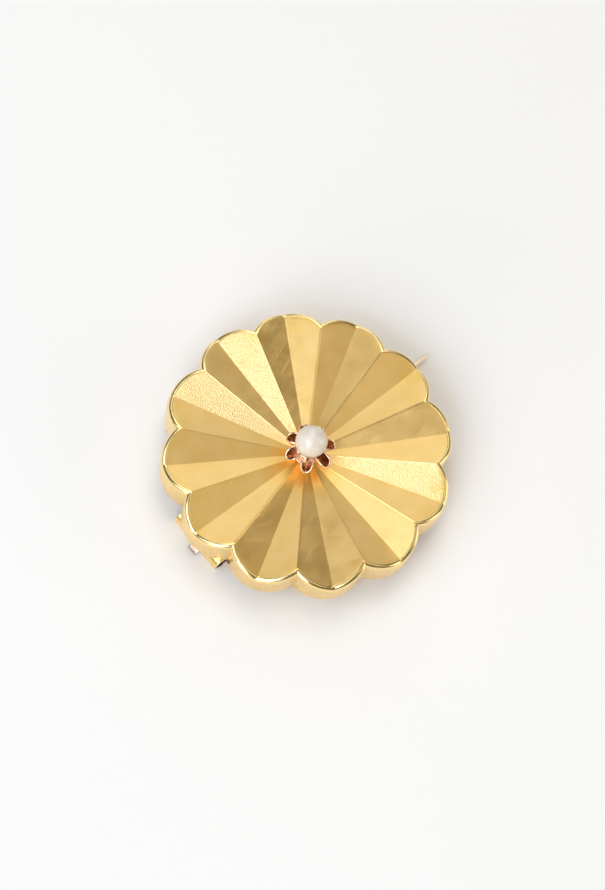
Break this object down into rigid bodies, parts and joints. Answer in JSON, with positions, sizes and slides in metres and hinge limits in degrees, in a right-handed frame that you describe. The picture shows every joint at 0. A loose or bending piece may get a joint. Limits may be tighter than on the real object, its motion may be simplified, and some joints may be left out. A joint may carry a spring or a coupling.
{
  "type": "brooch",
  "caption": "Scalloped gold disc brooch with a pleated front, a claw-set pearl, a hinged pin and a C-catch on its back.",
  "frame": {"origin": "centre of the back plate's outer face", "axes": "+Z out of the pleated front, along the pearl's setting; +X along the pin, from the hinge towards its tip"},
  "size_m": [0.0331, 0.0296, 0.009],
  "materials": {
    "satin_gold": "fine satin grain with light scratches",
    "polished_gold": "polished, softly worn",
    "rose_gold": "polished rose gold",
    "pin_metal": "drawn wire, satin",
    "nacre": "pearl lustre"
  },
  "bodies": {
    "brooch": {"fluted_front": "satin_gold", "rim_wall": "polished_gold", "back_plate": "polished_gold", "setting_collet": "rose_gold", "claw_1": "rose_gold", "claw_2": "rose_gold", "claw_3": "rose_gold", "claw_4": "rose_gold", "claw_5": "rose_gold", "claw_6": "rose_gold", "claw_7": "rose_gold", "pearl": "nacre", "pearl_peg": "rose_gold", "hinge_base": "polished_gold", "hinge_tube_near": "polished_gold", "hinge_tube_far": "polished_gold", "hinge_rivet": "rose_gold", "catch_base": "polished_gold", "catch_hook": "polished_gold"},
    "pin": {"pin_knuckle": "pin_metal", "pin_stem": "pin_metal"}
  },
  "joints": [
    {"name": "pin_hinge", "type": "hinge", "parent": "brooch", "child": "pin", "pos_m": [-0.01322, -0.0003, -0.00119], "axis": [0, 1, 0], "range_deg": [0, 70]}
  ]
}
